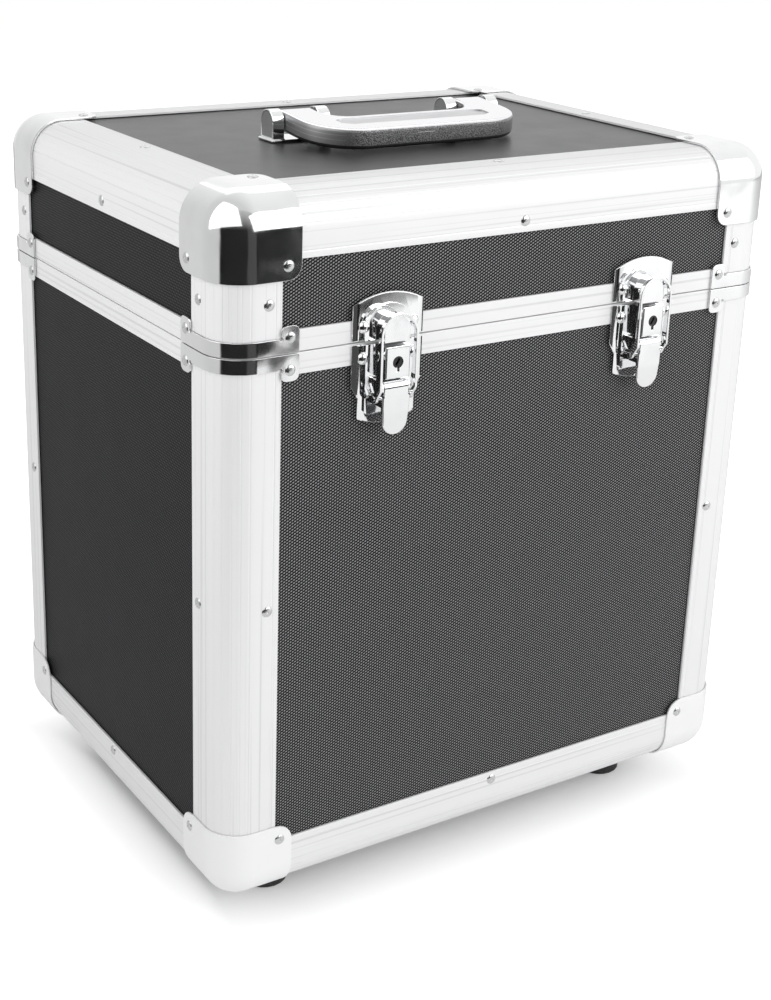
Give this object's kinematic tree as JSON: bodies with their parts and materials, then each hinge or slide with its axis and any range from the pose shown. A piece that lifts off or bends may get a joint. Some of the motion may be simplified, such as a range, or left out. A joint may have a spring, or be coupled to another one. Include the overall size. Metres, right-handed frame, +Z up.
{
  "type": "record carrying case",
  "caption": "Portable hard case for 12-inch records, with aluminium edging, ball corners, a hinged lid, keyed draw latches and a folding top handle.",
  "frame": {"origin": "centre of the bounding box in plan, on the plane under the feet", "axes": "+Z up, the front with the latches faces -Y, the hinge is at +Y, X runs along the width"},
  "size_m": [0.353, 0.2898, 0.4197],
  "materials": {
    "aluminium": "satin anodised extrusion with fine grooves",
    "chrome": "bright plated steel",
    "satin_corner": "satin pressed metal",
    "laminate": "plywood with a dark embossed laminate",
    "rubber": "matt black",
    "foam": "soft black foam lining",
    "cast_metal": "polished top and grained sides",
    "hinge_steel": "plated"
  },
  "bodies": {
    "case": {"body_post_back_left": "aluminium", "body_post_back_right": "aluminium", "body_post_front_left": "aluminium", "body_post_front_right": "aluminium", "body_rim": "aluminium", "body_walls": "laminate", "bottom_board": "laminate", "bottom_cap_back_left": "satin_corner", "bottom_cap_back_right": "satin_corner", "bottom_cap_front_left": "satin_corner", "bottom_cap_front_right": "satin_corner", "bottom_rail_back": "aluminium", "bottom_rail_front": "aluminium", "bottom_rail_left": "aluminium", "bottom_rail_right": "aluminium", "floor_pad": "foam", "foot_back_left": "rubber", "foot_back_right": "rubber", "foot_front_left": "rubber", "foot_front_right": "rubber", "hinge_body_leaf": "hinge_steel", "hinge_pin": "hinge_steel", "latch_base_left": "chrome", "latch_base_right": "chrome", "lower_bracket_back_left": "chrome", "lower_bracket_back_right": "chrome", "lower_bracket_front_left": "chrome", "lower_bracket_front_right": "chrome"},
    "lid": {"handle_bracket_left": "chrome", "handle_bracket_right": "chrome", "hinge_lid_leaf": "hinge_steel", "latch_keeper_left": "chrome", "latch_keeper_right": "chrome", "lid_pad": "foam", "lid_post_back_left": "aluminium", "lid_post_back_right": "aluminium", "lid_post_front_left": "aluminium", "lid_post_front_right": "aluminium", "lid_rim": "aluminium", "lid_walls": "laminate", "top_board": "laminate", "top_cap_back_left": "chrome", "top_cap_back_right": "chrome", "top_cap_front_left": "chrome", "top_cap_front_right": "chrome", "top_rail_back": "aluminium", "top_rail_front": "aluminium", "top_rail_left": "aluminium", "top_rail_right": "aluminium", "upper_bracket_back_left": "chrome", "upper_bracket_back_right": "chrome", "upper_bracket_front_left": "chrome", "upper_bracket_front_right": "chrome"},
    "handle": {"handle": "cast_metal"},
    "lever_left": {"latch_lever_left": "chrome"},
    "hoop_left": {"latch_hoop_left": "chrome"},
    "plug_left": {"lock_plug_left": "chrome"},
    "lever_right": {"latch_lever_right": "chrome"},
    "hoop_right": {"latch_hoop_right": "chrome"},
    "plug_right": {"lock_plug_right": "chrome"}
  },
  "joints": [
    {"name": "lid_hinge", "type": "hinge", "parent": "case", "child": "lid", "pos_m": [0, 0.1419, 0.326], "axis": [-1, 0, 0], "range_deg": [0, 105]},
    {"name": "handle_fold", "type": "hinge", "parent": "lid", "child": "handle", "pos_m": [0, 0.0031, 0.413], "axis": [-1, 0, 0], "range_deg": [0, 100]},
    {"name": "lever_pull_left", "type": "hinge", "parent": "case", "child": "lever_left", "pos_m": [-0.0831, -0.1394, 0.3032], "axis": [-1, 0, 0], "range_deg": [0, 95]},
    {"name": "hoop_tilt_left", "type": "hinge", "parent": "lever_left", "child": "hoop_left", "pos_m": [-0.0831, -0.1394, 0.298], "axis": [-1, 0, 0], "range_deg": [-95, 0]},
    {"name": "key_turn_left", "type": "hinge", "parent": "case", "child": "plug_left", "pos_m": [-0.0831, -0.1436, 0.3167], "axis": [0, -1, 0], "range_deg": [0, 90]},
    {"name": "lever_pull_right", "type": "hinge", "parent": "case", "child": "lever_right", "pos_m": [0.0831, -0.1394, 0.3032], "axis": [-1, 0, 0], "range_deg": [0, 95]},
    {"name": "hoop_tilt_right", "type": "hinge", "parent": "lever_right", "child": "hoop_right", "pos_m": [0.0831, -0.1394, 0.298], "axis": [-1, 0, 0], "range_deg": [-95, 0]},
    {"name": "key_turn_right", "type": "hinge", "parent": "case", "child": "plug_right", "pos_m": [0.0831, -0.1436, 0.3167], "axis": [0, -1, 0], "range_deg": [0, 90]}
  ],
  "couplings": [
    {"joint": "hoop_tilt_left", "follows": "lever_pull_left", "ratio": -1},
    {"joint": "hoop_tilt_right", "follows": "lever_pull_right", "ratio": -1}
  ]
}
